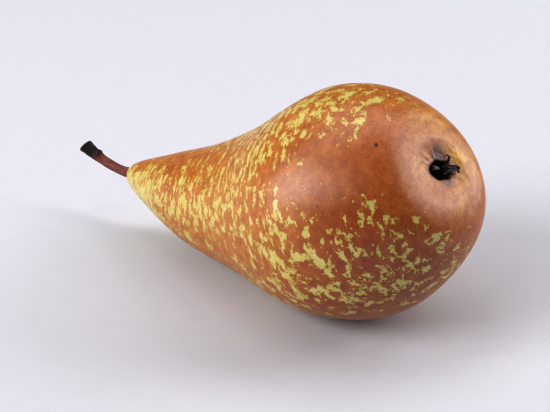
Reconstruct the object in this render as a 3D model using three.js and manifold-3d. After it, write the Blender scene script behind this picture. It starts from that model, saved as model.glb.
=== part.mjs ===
// Dessert pear of the long-necked russet kind, lying on its side as it comes to rest.
// Millimetres, +Z up. +X points to the calyx (blossom) end and the stem lies towards -X.
// The origin is the middle of the footprint, on the surface that the pear rests on.
import * as THREE from "three";
import { mergeVertices } from "three/addons/utils/BufferGeometryUtils.js";
import Module from "manifold-3d";

// ---------------------------------------------------------------- driving dimensions
const CORE_LENGTH = 117.484; // calyx plane to the tip of the neck, along the core
const WIDEST = 32.634; // distance from the calyx plane to the bend origin of the core
// Control points of the profile: distance along the core, radius.
const PROFILE = [
  [0, 0],
  [0, 13.439],
  [2.176, 19.315],
  [15.229, 30.041],
  [32.634, 34.748],
  [52.215, 28.837],
  [71.796, 19.66],
  [89.201, 15.558],
  [104.43, 8.99],
  [114.22, 4.778],
  [117.484, 2.243],
  [117.484, 0],
];
// Sideways drift of the core from a straight line, at the calyx end, the stem end and midway along the neck.
const BEND_SIDE = { calyx: 1.405, stem: -2.152, neck: 0.965 };
const BEND_UP = { calyx: 3.501, stem: 22.643, neck: 1.664 };
const LYING_TILT = 26.175; // degrees that the stem end hangs below the calyx end at rest
const CORE_AT_REST = [-28.7792, -0.0004, -48.6411]; // the turned core's reference point, brought to the origin
// Slight unevenness of growth: distance along the core, radius, angle round it, height, reach.
const SWELLINGS = [
  [36.68, 32.66, 6.241, -0.422, 7],
  [14.62, 28.33, 5.634, 0.436, 7],
  [14.11, 28.04, 3.288, -0.412, 7],
  [70.86, 20.71, 6.22, 0.592, 7],
  [66.95, 22.22, 2.346, -0.38, 7],
  [46.7, 30.26, 2.471, 0.339, 7],
  [87.89, 15.45, 6.053, -0.373, 7],
  [28.36, 32.8, 2.848, 0.222, 7],
  [85.58, 16.16, 2.325, 0.214, 10],
  [5.11, 21.08, 3.833, 0.161, 7],
];
const FLAT_DEPTH = 0.35; // how far the resting spot is pressed flat

const BASIN_RADIUS = 11; // shallow hollow round the eye
const BASIN_DEPTH = 1.6;
const EYE_LIP = 3.5; // mean radius where the skin turns down into the eye
const EYE_SHIFT = { up: 0.78, side: -1.35 }; // the eye sits a little off the core's end
const EYE_SHIFT_REACH = [5, 15]; // radii between which the shift fades out
const EYE_OVAL = { long: 66.6, stretch: 0.16, reach: [4, 9] }; // direction of the long axis in degrees, share, radii of the fade
// Wall of the eye from its lip to its floor: distance along the core, radius.
const EYE_WALL = [
  [2.05, 3.25],
  [2.9, 3.05],
  [4.4, 2.9],
  [5.6, 2.4],
  [6.25, 1.4],
  [6.4, 0],
];
const SOCKET_RADIUS = 1.95; // seat of the stem in the tip of the neck
const SOCKET_DEPTH = 1.2;

const STEM_PATH = [
  [-86.05, 2.15, 17.02],
  [-88.4, 2.15, 16.72],
  [-93.1, 2.15, 17.1],
  [-98.0, 2.15, 18.25],
  [-102.2, 2.15, 19.75],
  [-105.6, 2.15, 21.25],
];
// Share of the stem's length, radius.
const STEM_RADII = [
  [0, 1.5],
  [0.08, 1.58],
  [0.3, 1.5],
  [0.55, 1.52],
  [0.75, 1.72],
  [0.9, 2.0],
  [1, 2.2],
];
const STEM_KNOB = { at: 0.7, height: 0.75, reach: 1.0 }; // bud scar on the upper side
const STEM_CUT = 13; // degrees that the cut end is off square

// Sepals: angle round the eye in degrees, half width, half thickness, then the ridge line (distance along the core, radius).
const SEPALS = [
  { turn: 24, width: 1.05, thick: 0.25, line: [[4.2, 2.6], [3.0, 2.3], [2.1, 1.6], [1.7, 0.8]] },
  { turn: 298, width: 0.7, thick: 0.26, line: [[4.0, 2.4], [2.7, 2.5], [1.25, 3.25], [0.75, 5.2]] },
  { turn: 252, width: 1.2, thick: 0.4, line: [[4.2, 2.7], [2.9, 2.85], [1.15, 3.75], [0.6, 5.3]] },
  { turn: 178, width: 1.0, thick: 0.28, line: [[4.5, 2.1], [3.6, 2.05], [2.9, 1.75], [2.4, 1.2]] },
  { turn: 104, width: 1.0, thick: 0.28, line: [[4.6, 2.5], [3.8, 2.4], [3.1, 2.0], [2.6, 1.4]] },
];
const STAMEN_BASE = 6.0; // withered stamens stand in the floor of the eye
const STAMEN_TOP = 4.0;
const STAMEN_SPREAD = 1.2;

const RINGS = 46;
const SIDES = 44;
// Middle of the whole object's footprint and the level of the resting spot, moved to the origin.
const FOOTPRINT = [-35.4335, -0.0019, FLAT_DEPTH];

// ---------------------------------------------------------------- helpers
const V = (x, y, z) => new THREE.Vector3(x, y, z);

// Value of a clamped cubic B-spline with the given control values, at t from 0 to 1.
function spline(values, t) {
  const k = 3;
  const n = values.length;
  const knots = [];
  for (let i = 0; i < k; i++) knots.push(0);
  for (let i = 0; i <= n - k; i++) knots.push(i / (n - k));
  for (let i = 0; i < k; i++) knots.push(1);
  let span = k;
  while (span < n - 1 && t >= knots[span + 1]) span++;
  const d = [];
  for (let j = 0; j <= k; j++) d.push(values[span - k + j]);
  for (let r = 1; r <= k; r++)
    for (let j = k; j >= r; j--) {
      const i = span - k + j;
      const a = (t - knots[i]) / (knots[i + k - r + 1] - knots[i]);
      d[j] = (1 - a) * d[j - 1] + a * d[j];
    }
  return d[k];
}

function coreOffset(x, b) {
  const tn = Math.max((WIDEST - x) / WIDEST, 0);
  const tp = Math.max((x - WIDEST) / (CORE_LENGTH - WIDEST), 0);
  return b.calyx * tn * tn + b.stem * tp * tp + b.neck * tp * tp * (1 - tp) * 4;
}

const core = (x) => V(x, coreOffset(x, BEND_SIDE), coreOffset(x, BEND_UP));

const fade = (from, to, v) => {
  const t = THREE.MathUtils.clamp((v - from) / (to - from), 0, 1);
  return 1 - t * t * (3 - 2 * t);
};

// Point and outward direction at distance x along the core, radius r and angle a (0 is the top).
// Round the eye, rings are shifted sideways by the share given in off.
function ringPoint(x, r, a, off = 0) {
  const along = core(x + 0.1).sub(core(x - 0.1)).normalize();
  const up = V(0, 0, 1);
  const n = up.clone().addScaledVector(along, -up.dot(along)).normalize();
  const side = n.clone().cross(along);
  const centre = core(x).addScaledVector(n, off * EYE_SHIFT.up).addScaledVector(side, off * EYE_SHIFT.side);
  const out = n.multiplyScalar(Math.cos(a)).addScaledVector(side, Math.sin(a));
  return { point: centre.addScaledVector(out, r), out, along };
}

const tilt = THREE.MathUtils.degToRad(LYING_TILT);
// Turns the upright-core frame into the lying one and brings the footprint's middle to the origin.
function turn(v) {
  const x = v.x * Math.cos(tilt) + v.z * Math.sin(tilt);
  const z = -v.x * Math.sin(tilt) + v.z * Math.cos(tilt);
  return v.set(-x, -v.y, z);
}
function place(v) {
  return turn(v).sub(V(...CORE_AT_REST)).sub(V(...FOOTPRINT));
}

const swellings = SWELLINGS.map(([x, r, a, h, reach]) => ({
  centre: ringPoint(x, r, a).point,
  h,
  reach,
}));

// Surface point with the swellings added along the surface's own direction; slope is (dx, dr) along the profile.
function skinPoint(x, r, a, slope) {
  const nearEye = x < CORE_LENGTH / 2 ? 1 : 0;
  const off = nearEye * fade(...EYE_SHIFT_REACH, r);
  const oval = nearEye * EYE_OVAL.stretch * fade(...EYE_OVAL.reach, r);
  const long = THREE.MathUtils.degToRad(EYE_OVAL.long);
  const { point, out, along } = ringPoint(x, r * (1 + oval * Math.cos(2 * (a - long))), a, off);
  const l = Math.hypot(slope[0], slope[1]) || 1;
  const normal = out.multiplyScalar(slope[0] / l).addScaledVector(along, -slope[1] / l);
  let h = 0;
  for (const s of swellings)
    h += s.h * Math.exp(-point.distanceToSquared(s.centre) / (2 * s.reach * s.reach));
  return place(point.addScaledVector(normal, h));
}

// A lathe turned about Y whose vertices are then moved: move(height, radius, angle) gives each new place.
function bentLathe(points, sides, move) {
  const g = new THREE.LatheGeometry(
    points.map(([h, r]) => new THREE.Vector2(r, h)),
    sides,
  );
  g.deleteAttribute("normal");
  g.deleteAttribute("uv");
  const m = mergeVertices(g, 1e-4);
  const p = m.attributes.position;
  for (let i = 0; i < p.count; i++) {
    const v = move(p.getY(i), Math.hypot(p.getX(i), p.getZ(i)), Math.atan2(p.getX(i), p.getZ(i)));
    p.setXYZ(i, v.x, v.y, v.z);
  }
  return m;
}

const wasm = await Module();
wasm.setup();
const solid = (g) =>
  new wasm.Manifold(
    new wasm.Mesh({
      numProp: 3,
      vertProperties: new Float32Array(g.attributes.position.array),
      triVerts: new Uint32Array(g.index.array),
    }),
  );
// Turns faces round where a lathe came out facing inwards.
function facingOut(g) {
  if (solid(g).volume() < 0) {
    const t = g.index.array;
    for (let i = 0; i < t.length; i += 3) [t[i + 1], t[i + 2]] = [t[i + 2], t[i + 1]];
  }
  return g;
}
function geometryOf(s) {
  const m = s.getMesh();
  const n = m.numProp;
  const v = new Float32Array(m.numVert * 3);
  for (let i = 0; i < m.numVert; i++) v.set(m.vertProperties.subarray(i * n, i * n + 3), i * 3);
  const g = new THREE.BufferGeometry();
  g.setAttribute("position", new THREE.BufferAttribute(v, 3));
  g.setIndex(new THREE.BufferAttribute(new Uint32Array(m.triVerts), 1));
  g.computeVertexNormals();
  return g;
}

// ---------------------------------------------------------------- body
// Outer profile without its ends, then the eye added at one end and the stem's seat at the other.
const px = PROFILE.map((p) => p[0]);
const pr = PROFILE.map((p) => p[1]);
const outer = [];
for (let i = 0; i <= 400; i++) outer.push([spline(px, i / 400), spline(pr, i / 400)]);
const radiusToX = (r) => {
  let i = 1;
  while (outer[i][1] < r) i++;
  const [x0, r0] = outer[i - 1];
  const [x1, r1] = outer[i];
  return x0 + ((x1 - x0) * (r - r0)) / (r1 - r0);
};
const basin = (r) => {
  const t = THREE.MathUtils.clamp((r - EYE_LIP) / (BASIN_RADIUS - EYE_LIP), 0, 1);
  return BASIN_DEPTH * (0.5 + 0.5 * Math.cos(Math.PI * t));
};
const profile = [];
for (const [x, r] of [...EYE_WALL].reverse()) profile.push([x, r]);
for (const r of [EYE_LIP, 4.2, 5.2, 6.4, 7.9, 9.4, BASIN_RADIUS]) profile.push([radiusToX(r) + basin(r), r]);
// Even steps along the rest of the outer profile, up to the rim of the stem's seat.
const start = outer.findIndex((p) => p[1] > BASIN_RADIUS + 0.8);
const end = outer.length - 1 - [...outer].reverse().findIndex((p) => p[1] > SOCKET_RADIUS + 0.35);
let travelled = 0;
const lengths = [0];
for (let i = start + 1; i <= end; i++) {
  travelled += Math.hypot(outer[i][0] - outer[i - 1][0], outer[i][1] - outer[i - 1][1]);
  lengths.push(travelled);
}
for (let k = 0; k <= RINGS; k++) {
  const want = (travelled * k) / RINGS;
  let i = 1;
  while (i < lengths.length - 1 && lengths[i] < want) i++;
  const f = (want - lengths[i - 1]) / (lengths[i] - lengths[i - 1]);
  const [x0, r0] = outer[start + i - 1];
  const [x1, r1] = outer[start + i];
  profile.push([x0 + (x1 - x0) * f, r0 + (r1 - r0) * f]);
}
const rimX = profile[profile.length - 1][0];
profile.push([rimX, SOCKET_RADIUS]);
profile.push([rimX - SOCKET_DEPTH, SOCKET_RADIUS - 0.1]);
profile.push([rimX - SOCKET_DEPTH, 0]);

const slopes = profile.map((p, i) => {
  const a = profile[Math.max(i - 1, 0)];
  const b = profile[Math.min(i + 1, profile.length - 1)];
  return [b[0] - a[0], b[1] - a[1]];
});
// The lathe's height runs along the profile's own index, so each ring knows its slope.
const bodyGeometry = (() => {
  const g = new THREE.LatheGeometry(
    profile.map(([, r], i) => new THREE.Vector2(r, i)),
    SIDES,
  );
  g.deleteAttribute("normal");
  g.deleteAttribute("uv");
  const m = mergeVertices(g, 1e-4);
  const p = m.attributes.position;
  for (let i = 0; i < p.count; i++) {
    const k = Math.round(p.getY(i));
    const v = skinPoint(profile[k][0], profile[k][1], Math.atan2(p.getX(i), p.getZ(i)), slopes[k]);
    p.setXYZ(i, v.x, v.y, v.z);
  }
  return facingOut(m);
})();
// Everything below the resting level is pressed away.
const below = (() => {
  const g = new THREE.BoxGeometry(400, 200, 40);
  g.translate(0, 0, -20);
  g.deleteAttribute("normal");
  g.deleteAttribute("uv");
  return mergeVertices(g, 1e-4);
})();
const pearBody = new THREE.Mesh(
  geometryOf(solid(bodyGeometry).subtract(solid(below))),
  new THREE.MeshStandardMaterial({ color: 0xb5793c, roughness: 0.5, metalness: 0 }),
);
pearBody.name = "pear_body";

// ---------------------------------------------------------------- stem
const stemCurve = new THREE.CatmullRomCurve3(
  STEM_PATH.map((p) => V(...p).sub(V(...FOOTPRINT))),
  false,
  "centripetal",
);
const stemRadius = (t) => {
  let i = 1;
  while (i < STEM_RADII.length - 1 && STEM_RADII[i][0] < t) i++;
  const [t0, r0] = STEM_RADII[i - 1];
  const [t1, r1] = STEM_RADII[i];
  const f = THREE.MathUtils.clamp((t - t0) / (t1 - t0), 0, 1);
  return r0 + (r1 - r0) * f * f * (3 - 2 * f);
};
const stemLength = stemCurve.getLength();
const stemProfile = [[0, 0]];
for (let i = 0; i <= 22; i++) stemProfile.push([i / 22, stemRadius(i / 22)]);
stemProfile.push([1, 0]);
const stemGeometry = facingOut(
  bentLathe(stemProfile, 16, (t, r, a) => {
    const along = stemCurve.getTangentAt(THREE.MathUtils.clamp(t, 0, 1));
    const side = V(0, 1, 0);
    const up = along.clone().cross(side).normalize();
    if (up.z < 0) up.negate();
    const scar =
      STEM_KNOB.height *
      Math.exp(-(((t - STEM_KNOB.at) * stemLength) ** 2) / (2 * (STEM_KNOB.reach * 0.5) ** 2)) *
      Math.exp(-(a * a) / (2 * 0.45 ** 2));
    const radius = r > 0 ? r + scar : 0;
    const height = radius * Math.cos(a);
    const p = stemCurve
      .getPointAt(THREE.MathUtils.clamp(t, 0, 1))
      .addScaledVector(up, height)
      .addScaledVector(side, radius * Math.sin(a));
    // The cut end leans: its upper side is shorter.
    const lean = THREE.MathUtils.clamp((t - 0.8) / 0.2, 0, 1) * Math.tan(THREE.MathUtils.degToRad(STEM_CUT));
    return p.addScaledVector(along, -height * lean);
  }),
);
const stem = new THREE.Mesh(
  stemGeometry,
  new THREE.MeshStandardMaterial({ color: 0x6b3a2e, roughness: 0.75, metalness: 0 }),
);
stem.name = "stem";

// ---------------------------------------------------------------- calyx: five sepals and the stamens
function eyePoint(x, r, a) {
  return place(ringPoint(x, r, a, 1).point);
}
function sepal({ turn: degrees, width, thick, line }) {
  const a0 = THREE.MathUtils.degToRad(degrees);
  const ridge = new THREE.CatmullRomCurve3(line.map(([x, r]) => V(x, r, 0)), false, "centripetal");
  const pts = [[0, 0]];
  for (let i = 0; i <= 10; i++) {
    const t = i / 10;
    pts.push([t, Math.max(0.12, (0.75 + 0.25 * Math.sin(Math.PI * t)) * Math.sqrt(1 - 0.985 * t * t))]);
  }
  pts.push([1, 0]);
  return facingOut(
    bentLathe(pts, 12, (t, w, a) => {
      const p = ridge.getPointAt(THREE.MathUtils.clamp(t, 0, 1));
      const d = ridge.getTangentAt(THREE.MathUtils.clamp(t, 0, 1));
      // across: sideways round the eye; lift: square to the ridge in its own plane
      const across = w * width * Math.sin(a);
      const lift = Math.max(w, 0) * thick * Math.cos(a);
      const x = p.x - d.y * lift;
      const r = p.y + d.x * lift;
      const base = eyePoint(x, r, a0);
      const side = eyePoint(x, r, a0 + 0.01).sub(eyePoint(x, r, a0 - 0.01)).normalize();
      return base.addScaledVector(side, across);
    }),
  );
}
const calyx = new THREE.Group();
SEPALS.forEach((s, i) => {
  const m = new THREE.Mesh(
    sepal(s),
    new THREE.MeshStandardMaterial({ color: 0x2a1712, roughness: 0.8, metalness: 0 }),
  );
  m.name = "sepal_" + (i + 1);
  calyx.add(m);
});
const tuftProfile = [
  [STAMEN_BASE, 0],
  [STAMEN_BASE, STAMEN_SPREAD * 0.8],
  [5.4, STAMEN_SPREAD],
  [4.7, STAMEN_SPREAD * 0.95],
  [STAMEN_TOP + 0.2, STAMEN_SPREAD * 0.6],
  [STAMEN_TOP, 0],
];
const tuft = new THREE.Mesh(
  facingOut(
    bentLathe(tuftProfile, 15, (x, r, a) => eyePoint(x, r * (1 + 0.18 * Math.cos(5 * a)), a)),
  ),
  new THREE.MeshStandardMaterial({ color: 0x1c100c, roughness: 0.85, metalness: 0 }),
);
tuft.name = "stamen_tuft";
calyx.add(tuft);

// ---------------------------------------------------------------- the whole pear
const pear = new THREE.Group();
pear.add(pearBody, stem, calyx);
export default pear;
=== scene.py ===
"""Looks of the russet pear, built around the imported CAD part. Metres, row frame."""

import math

import bpy
import numpy as np
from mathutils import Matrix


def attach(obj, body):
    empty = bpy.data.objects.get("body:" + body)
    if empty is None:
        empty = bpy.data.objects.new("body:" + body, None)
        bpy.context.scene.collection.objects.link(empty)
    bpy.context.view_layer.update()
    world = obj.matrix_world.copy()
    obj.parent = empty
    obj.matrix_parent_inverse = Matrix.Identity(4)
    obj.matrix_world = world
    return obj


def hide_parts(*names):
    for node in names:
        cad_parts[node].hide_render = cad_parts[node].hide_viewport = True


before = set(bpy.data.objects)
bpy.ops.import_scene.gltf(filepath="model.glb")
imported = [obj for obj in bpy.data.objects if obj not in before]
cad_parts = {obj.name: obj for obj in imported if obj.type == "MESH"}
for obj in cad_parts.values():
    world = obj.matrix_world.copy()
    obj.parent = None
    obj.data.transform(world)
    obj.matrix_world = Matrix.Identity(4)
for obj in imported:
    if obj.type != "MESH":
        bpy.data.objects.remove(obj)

scene = bpy.context.scene
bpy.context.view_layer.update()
MM = 0.001

# =====================================================================================
# shape of the pear: the same formulas as the CAD part, in millimetres
# =====================================================================================
CORE_LENGTH = 117.484
WIDEST = 32.634
PROFILE = np.array(
    [
        (0, 0),
        (0, 13.439),
        (2.176, 19.315),
        (15.229, 30.041),
        (32.634, 34.748),
        (52.215, 28.837),
        (71.796, 19.66),
        (89.201, 15.558),
        (104.43, 8.99),
        (114.22, 4.778),
        (117.484, 2.243),
        (117.484, 0),
    ],
    float,
)
BEND_SIDE = (1.405, -2.152, 0.965)  # calyx end, stem end, neck
BEND_UP = (3.501, 22.643, 1.664)
TILT = math.radians(26.175)
CORE_AT_REST = np.array([-28.7792, -0.0004, -48.6411])
FLAT_DEPTH = 0.35
FOOTPRINT = np.array([-35.4335, -0.0019, FLAT_DEPTH])
SWELLINGS = [
    (36.68, 32.66, 6.241, -0.422, 7),
    (14.62, 28.33, 5.634, 0.436, 7),
    (14.11, 28.04, 3.288, -0.412, 7),
    (70.86, 20.71, 6.22, 0.592, 7),
    (66.95, 22.22, 2.346, -0.38, 7),
    (46.7, 30.26, 2.471, 0.339, 7),
    (87.89, 15.45, 6.053, -0.373, 7),
    (28.36, 32.8, 2.848, 0.222, 7),
    (85.58, 16.16, 2.325, 0.214, 10),
    (5.11, 21.08, 3.833, 0.161, 7),
]
BASIN_RADIUS, BASIN_DEPTH, EYE_LIP = 11.0, 1.15, 3.5
EYE_SHIFT = (0.78, -1.35)  # up and sideways, fading out between these radii
EYE_SHIFT_REACH = (5.0, 15.0)
EYE_LONG, EYE_STRETCH, EYE_REACH = math.radians(66.6), 0.16, (4.0, 9.0)


def bspline(values, n):
    """A clamped cubic B-spline through its control values, sampled n times."""
    c = np.asarray(values, float)
    k, m = 3, len(c)
    knots = np.concatenate([np.zeros(k), np.linspace(0, 1, m - k + 1), np.ones(k)])
    out = np.empty(n)
    for q, t in enumerate(np.linspace(0, 1, n)):
        span = min(int(np.searchsorted(knots, t, side="right")) - 1, m - 1)
        span = max(span, k)
        d = [c[span - k + j] for j in range(k + 1)]
        for r in range(1, k + 1):
            for j in range(k, r - 1, -1):
                i = span - k + j
                a = (t - knots[i]) / (knots[i + k - r + 1] - knots[i])
                d[j] = (1 - a) * d[j - 1] + a * d[j]
        out[q] = d[k]
    return out


def smooth_path(points, n):
    """A centripetal Catmull-Rom curve through the points, sampled n times at even lengths."""
    p = np.asarray(points, float)
    p = np.vstack([2 * p[0] - p[1], p, 2 * p[-1] - p[-2]])
    out = []
    for i in range(1, len(p) - 2):
        t = [0.0]
        for j in range(3):
            t.append(t[-1] + max(np.linalg.norm(p[i + j] - p[i + j - 1]) ** 0.5, 1e-6))
        u = np.linspace(t[1], t[2], 24, endpoint=False)[:, None]
        q = p[i - 1 : i + 3]
        a1 = (t[1] - u) / (t[1] - t[0]) * q[0] + (u - t[0]) / (t[1] - t[0]) * q[1]
        a2 = (t[2] - u) / (t[2] - t[1]) * q[1] + (u - t[1]) / (t[2] - t[1]) * q[2]
        a3 = (t[3] - u) / (t[3] - t[2]) * q[2] + (u - t[2]) / (t[3] - t[2]) * q[3]
        b1 = (t[2] - u) / (t[2] - t[0]) * a1 + (u - t[0]) / (t[2] - t[0]) * a2
        b2 = (t[3] - u) / (t[3] - t[1]) * a2 + (u - t[1]) / (t[3] - t[1]) * a3
        out.append((t[2] - u) / (t[2] - t[1]) * b1 + (u - t[1]) / (t[2] - t[1]) * b2)
    out = np.vstack(out + [p[-2:-1]])
    s = np.concatenate([[0], np.cumsum(np.linalg.norm(np.diff(out, axis=0), axis=1))])
    want = np.linspace(0, s[-1], n)
    return np.stack([np.interp(want, s, out[:, k]) for k in range(out.shape[1])], 1)


def core_offset(x, b):
    tn = np.clip((WIDEST - x) / WIDEST, 0, None)
    tp = np.clip((x - WIDEST) / (CORE_LENGTH - WIDEST), 0, None)
    return b[0] * tn**2 + b[1] * tp**2 + b[2] * tp**2 * (1 - tp) * 4


def core(x):
    x = np.asarray(x, float)
    return np.stack([x, core_offset(x, BEND_SIDE), core_offset(x, BEND_UP)], -1)


def ring_point(x, r, a, off=0.0):
    """Points at distance x along the core, radius r and angle a (0 is the top), with their outward and lengthwise directions."""
    along = core(x + 0.1) - core(x - 0.1)
    along /= np.linalg.norm(along, axis=-1, keepdims=True)
    up = np.array([0, 0, 1.0])
    n = up - along * (along @ up)[..., None]
    n /= np.linalg.norm(n, axis=-1, keepdims=True)
    side = np.cross(n, along)
    out = np.cos(a)[..., None] * n + np.sin(a)[..., None] * side
    off = np.asarray(off, float)[..., None]
    return core(x) + off * (EYE_SHIFT[0] * n + EYE_SHIFT[1] * side) + np.asarray(r)[..., None] * out, out, along


def eye_point(x, r, a):
    """A point of the eye: distance along the core, radius and angle round the eye's own middle."""
    x, r, a = (np.asarray(v, float) for v in (x, r, a))
    return place(ring_point(x, r, a, np.ones_like(x))[0])


def turn(v):
    x = v[..., 0] * math.cos(TILT) + v[..., 2] * math.sin(TILT)
    z = -v[..., 0] * math.sin(TILT) + v[..., 2] * math.cos(TILT)
    return np.stack([-x, -v[..., 1], z], -1)


def place(v):
    """From the core's own frame to the row frame, still in millimetres."""
    return turn(v) - CORE_AT_REST - FOOTPRINT


# =====================================================================================
# deterministic smooth noise for shapes
# =====================================================================================
def lattice_noise(p, seed):
    """Smooth value noise from -1 to 1 at points p (n, 3), with one cell per unit."""
    p = np.asarray(p, float)
    i = np.floor(p).astype(np.int64)
    f = p - i
    f = f * f * f * (f * (f * 6 - 15) + 10)
    total = np.zeros(p.shape[:-1])
    for dx in (0, 1):
        for dy in (0, 1):
            for dz in (0, 1):
                h = (
                    (i[..., 0] + dx) * 374761393
                    + (i[..., 1] + dy) * 668265263
                    + (i[..., 2] + dz) * 2147483647
                    + seed * 1274126177
                )
                h = (h ^ (h >> 13)) * 1274126177
                h = (h ^ (h >> 16)) & 0xFFFFFF
                v = h / float(0xFFFFFF) * 2 - 1
                w = (
                    (f[..., 0] if dx else 1 - f[..., 0])
                    * (f[..., 1] if dy else 1 - f[..., 1])
                    * (f[..., 2] if dz else 1 - f[..., 2])
                )
                total += v * w
    return total


def fractal(p, seed, octaves=3, gain=0.5):
    out, amp, norm = 0.0, 1.0, 0.0
    p = np.asarray(p, float)
    for o in range(octaves):
        out = out + amp * lattice_noise(p * 2**o + 17.3 * o, seed + o)
        norm += amp
        amp *= gain
    return out / norm


def smoothstep(a, b, x):
    t = np.clip((x - a) / (b - a), 0, 1)
    return t * t * (3 - 2 * t)


def wrap(a):
    return (a + np.pi) % (2 * np.pi) - np.pi


# =====================================================================================
# mesh helpers
# =====================================================================================
def make_object(name, verts_mm, faces, smooth=True):
    mesh = bpy.data.meshes.new(name)
    mesh.from_pydata((np.asarray(verts_mm) * MM).tolist(), [], [list(map(int, f)) for f in faces])
    mesh.update()
    if smooth:
        mesh.polygons.foreach_set("use_smooth", [True] * len(mesh.polygons))
    obj = bpy.data.objects.new(name, mesh)
    scene.collection.objects.link(obj)
    return obj


def grid_faces(nu, nt, offset=0, flip=False):
    """Quads of a grid that closes on itself round nt columns."""
    i, j = np.meshgrid(np.arange(nu - 1), np.arange(nt), indexing="ij")
    k = (j + 1) % nt
    a, b, c, d = i * nt + j, i * nt + k, (i + 1) * nt + k, (i + 1) * nt + j
    q = np.stack([a, b, c, d] if not flip else [a, d, c, b], -1).reshape(-1, 4) + offset
    return q


def add_float(obj, name, values):
    a = obj.data.attributes.new(name, "FLOAT", "POINT")
    a.data.foreach_set("value", np.asarray(values, np.float32).ravel())


def add_vector(obj, name, values):
    a = obj.data.attributes.new(name, "FLOAT_VECTOR", "POINT")
    a.data.foreach_set("vector", np.asarray(values, np.float32).ravel())


# =====================================================================================
# pear body
# =====================================================================================
FOLD_FROM_END = 2.6  # length along the skin from the stem's seat to the fold, mm
fine_x, fine_r = bspline(PROFILE[:, 0], 2400), np.maximum(bspline(PROFILE[:, 1], 2400), 0)
rise = int(np.argmax(fine_r))


def radius_to_x(r):
    return np.interp(r, fine_r[:rise], fine_x[:rise])


def basin(r):
    t = np.clip((r - EYE_LIP) / (BASIN_RADIUS - EYE_LIP), 0, 1)
    return BASIN_DEPTH * (0.5 + 0.5 * np.cos(np.pi * t))


def body_profile():
    """(distance along the core, radius, length along the skin from the eye's lip), from the floor of the eye to the stem's seat."""
    wall = [(6.4, 0.0), (6.3, 0.8), (6.05, 1.55), (5.5, 2.2), (4.5, 2.72), (3.2, 2.93), (2.4, 3.05)]
    lip_r = np.concatenate([[3.3, EYE_LIP + 0.1], np.arange(4.1, BASIN_RADIUS + 0.01, 0.5)])
    lip = [(radius_to_x(r) + basin(r) + (0.12 if r < 3.5 else 0.0), r) for r in lip_r]
    eye = smooth_path(wall + lip, 1200)
    start = int(np.argmax(fine_r > BASIN_RADIUS + 0.05))
    stop = len(fine_r) - int(np.argmax(fine_r[::-1] > 2.35)) - 1
    outer = np.stack([fine_x[start:stop], fine_r[start:stop]], 1)
    tip = outer[-1]
    # the neck closes round the stem in a soft lip, then dips into the stem's seat
    seat = smooth_path(
        [tip, (tip[0] + 0.18, 2.12), (tip[0] + 0.16, 1.92), (tip[0] - 0.25, 1.8), (tip[0] - 0.9, 1.72), (tip[0] - 1.25, 1.2), (tip[0] - 1.3, 0)],
        160,
    )
    line = np.vstack([eye, outer[1:], seat[1:]])
    s = np.concatenate([[0], np.cumsum(np.linalg.norm(np.diff(line, axis=0), axis=1))])
    lip_index = int(np.argmin(np.abs(line[:1200, 1] - EYE_LIP)))
    return line, s - s[lip_index]


line, line_s = body_profile()
# Ring spacing: fine in and round the eye and at the stem's seat, coarser elsewhere.
spacing_at = np.array([line_s[0], -1.0, 1.0, 5.0, 10.0, 20.0, line_s[-1] - 8, line_s[-1] - 3, line_s[-1]])
spacing = np.array([0.22, 0.13, 0.13, 0.2, 0.3, 0.5, 0.5, 0.15, 0.12])
rings = [line_s[0]]
while rings[-1] < line_s[-1]:
    rings.append(rings[-1] + np.interp(rings[-1], spacing_at, spacing))
rings = np.array(rings[:-1])
rings = line_s[0] + (rings - rings[0]) * (line_s[-1] - line_s[0]) / (rings[-1] - rings[0])
NU, NT = len(rings), 248
ring_x = np.interp(rings, line_s, line[:, 0])
ring_r = np.interp(rings, line_s, line[:, 1])
dx, dr = np.gradient(ring_x, rings), np.gradient(ring_r, rings)
theta = np.linspace(-np.pi, np.pi, NT, endpoint=False)
X = np.repeat(ring_x[:, None], NT, 1)
R = np.repeat(ring_r[:, None], NT, 1)
S = np.repeat(rings[:, None], NT, 1)
A = np.repeat(theta[None], NU, 0)

# the eye is an oval with five blunt lobes where the sepals stand
near_eye = (X < CORE_LENGTH / 2).astype(float)
lobes = EYE_STRETCH * np.cos(2 * (A - EYE_LONG)) * near_eye * (1 - smoothstep(*EYE_REACH, R))
lobes += (0.05 * np.cos(5 * A + 0.6) + 0.03 * np.cos(3 * A + 2.2)) * smoothstep(8.0, 3.6, R) * smoothstep(0.3, 2.0, R) * near_eye
off = near_eye * (1 - smoothstep(*EYE_SHIFT_REACH, R))
P, out, along = ring_point(X, R * (1 + lobes), A, off)
length = np.hypot(dx, dr)[:, None, None] + 1e-12
normal = (out * dx[:, None, None] - along * dr[:, None, None]) / length
height = np.zeros_like(X)
for x_, r_, a_, h_, reach in SWELLINGS:
    c = ring_point(np.array([float(x_)]), np.array([float(r_)]), np.array([float(a_)]))[0][0]
    height += h_ * np.exp(-((P - c) ** 2).sum(-1) / (2 * reach**2))
straight = np.stack([R * np.cos(A), R * np.sin(A), S], -1)  # the pear with its core straightened
skin_area = smoothstep(1.0, 6.0, S) * smoothstep(line_s[-1] - 1, line_s[-1] - 5, S)
height += skin_area * (0.07 * fractal(straight / 14.0, 3, 2) + 0.022 * fractal(straight / 4.5, 11, 2))
# puckers that run out from the eye, and the lip's own unevenness
pucker = 0.035 * np.cos(9 * A + 1.3 * np.sin(2 * A)) + 0.025 * np.cos(14 * A + 0.8) + 0.015 * np.cos(23 * A + 2.0)
height += pucker * smoothstep(3.0, 3.9, R) * smoothstep(10.5, 4.2, R) * near_eye
height += 0.07 * fractal(straight / 1.5, 23, 3) * smoothstep(11, 3.6, R) * near_eye
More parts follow.
